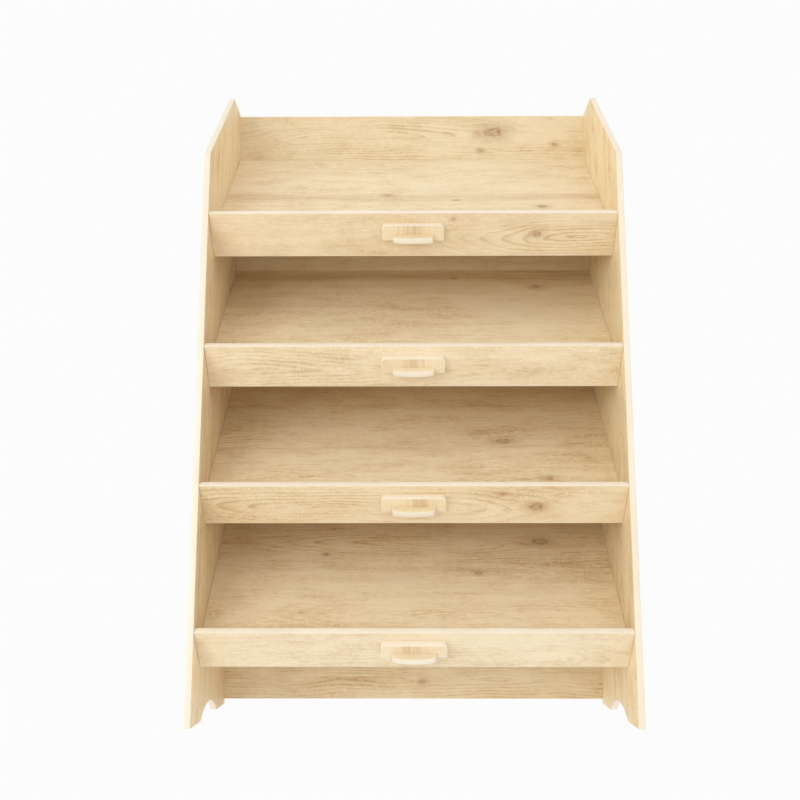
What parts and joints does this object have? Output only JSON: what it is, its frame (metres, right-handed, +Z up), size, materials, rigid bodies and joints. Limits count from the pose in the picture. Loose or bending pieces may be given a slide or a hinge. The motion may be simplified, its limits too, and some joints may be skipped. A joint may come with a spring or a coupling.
{
  "type": "book display stand",
  "caption": "Free-standing sloped book display stand in light oak board, with lipped lift-out trays, each with a wooden ledge handle, between side panels with chamfered tops and arched feet.",
  "frame": {"origin": "on the floor, in the middle of the footprint of the two side panels", "axes": "+X to the right as seen from the front, +Y from the front to the back panel, +Z up; the lips and handles face -Y"},
  "size_m": [1.244, 0.5, 2],
  "materials": {
    "oak_laminate": "satin light oak laminate with fine printed grain",
    "oak_laminate_handle": "satin light oak laminate, as the boards",
    "oak_laminate_strip": "satin light oak laminate with plain cut edges",
    "cream_edge_band": "satin cream edge band",
    "beech_dowel": "plain fluted beech",
    "zinc_screw": "zinc plated",
    "zinc_cam": "plain zinc casting",
    "steel_bolt": "zinc plated"
  },
  "bodies": {
    "carcass": {"back_panel": "oak_laminate", "back_panel_edge_bands": "cream_edge_band", "batten_screws": "zinc_screw", "carcass_cam_bolts": "steel_bolt", "carcass_cams": "zinc_cam", "carcass_dowels": "beech_dowel", "cross_rail_1": "oak_laminate_strip", "cross_rail_2": "oak_laminate_strip", "cross_rail_3": "oak_laminate_strip", "cross_rail_4": "oak_laminate_strip", "left_batten_1": "oak_laminate_strip", "left_batten_2": "oak_laminate_strip", "left_batten_3": "oak_laminate_strip", "left_batten_4": "oak_laminate_strip", "left_side_edge_bands": "cream_edge_band", "left_side_panel": "oak_laminate", "right_batten_1": "oak_laminate_strip", "right_batten_2": "oak_laminate_strip", "right_batten_3": "oak_laminate_strip", "right_batten_4": "oak_laminate_strip", "right_side_edge_bands": "cream_edge_band", "right_side_panel": "oak_laminate"},
    "tray_1": {"tray_1_dowels": "beech_dowel", "tray_1_edge_bands": "cream_edge_band", "tray_1_handle_edge_bands": "cream_edge_band", "tray_1_handle_ledge": "oak_laminate_handle", "tray_1_handle_plate": "oak_laminate_handle", "tray_1_hook_cleat": "oak_laminate_strip", "tray_1_lip": "oak_laminate", "tray_1_screws": "zinc_screw", "tray_1_shelf": "oak_laminate"},
    "tray_2": {"tray_2_dowels": "beech_dowel", "tray_2_edge_bands": "cream_edge_band", "tray_2_handle_edge_bands": "cream_edge_band", "tray_2_handle_ledge": "oak_laminate_handle", "tray_2_handle_plate": "oak_laminate_handle", "tray_2_hook_cleat": "oak_laminate_strip", "tray_2_lip": "oak_laminate", "tray_2_screws": "zinc_screw", "tray_2_shelf": "oak_laminate"},
    "tray_3": {"tray_3_dowels": "beech_dowel", "tray_3_edge_bands": "cream_edge_band", "tray_3_handle_edge_bands": "cream_edge_band", "tray_3_handle_ledge": "oak_laminate_handle", "tray_3_handle_plate": "oak_laminate_handle", "tray_3_hook_cleat": "oak_laminate_strip", "tray_3_lip": "oak_laminate", "tray_3_screws": "zinc_screw", "tray_3_shelf": "oak_laminate"},
    "tray_4": {"tray_4_dowels": "beech_dowel", "tray_4_edge_bands": "cream_edge_band", "tray_4_handle_edge_bands": "cream_edge_band", "tray_4_handle_ledge": "oak_laminate_handle", "tray_4_handle_plate": "oak_laminate_handle", "tray_4_hook_cleat": "oak_laminate_strip", "tray_4_lip": "oak_laminate", "tray_4_screws": "zinc_screw", "tray_4_shelf": "oak_laminate"}
  },
  "joints": [
    {"name": "tray_1_lift", "type": "slide", "parent": "carcass", "child": "tray_1", "axis": [0, -0.7071, 0.7071], "range_m": [0, 0.12]},
    {"name": "tray_2_lift", "type": "slide", "parent": "carcass", "child": "tray_2", "axis": [0, -0.7071, 0.7071], "range_m": [0, 0.12]},
    {"name": "tray_3_lift", "type": "slide", "parent": "carcass", "child": "tray_3", "axis": [0, -0.7071, 0.7071], "range_m": [0, 0.12]},
    {"name": "tray_4_lift", "type": "slide", "parent": "carcass", "child": "tray_4", "axis": [0, -0.7071, 0.7071], "range_m": [0, 0.12]}
  ]
}
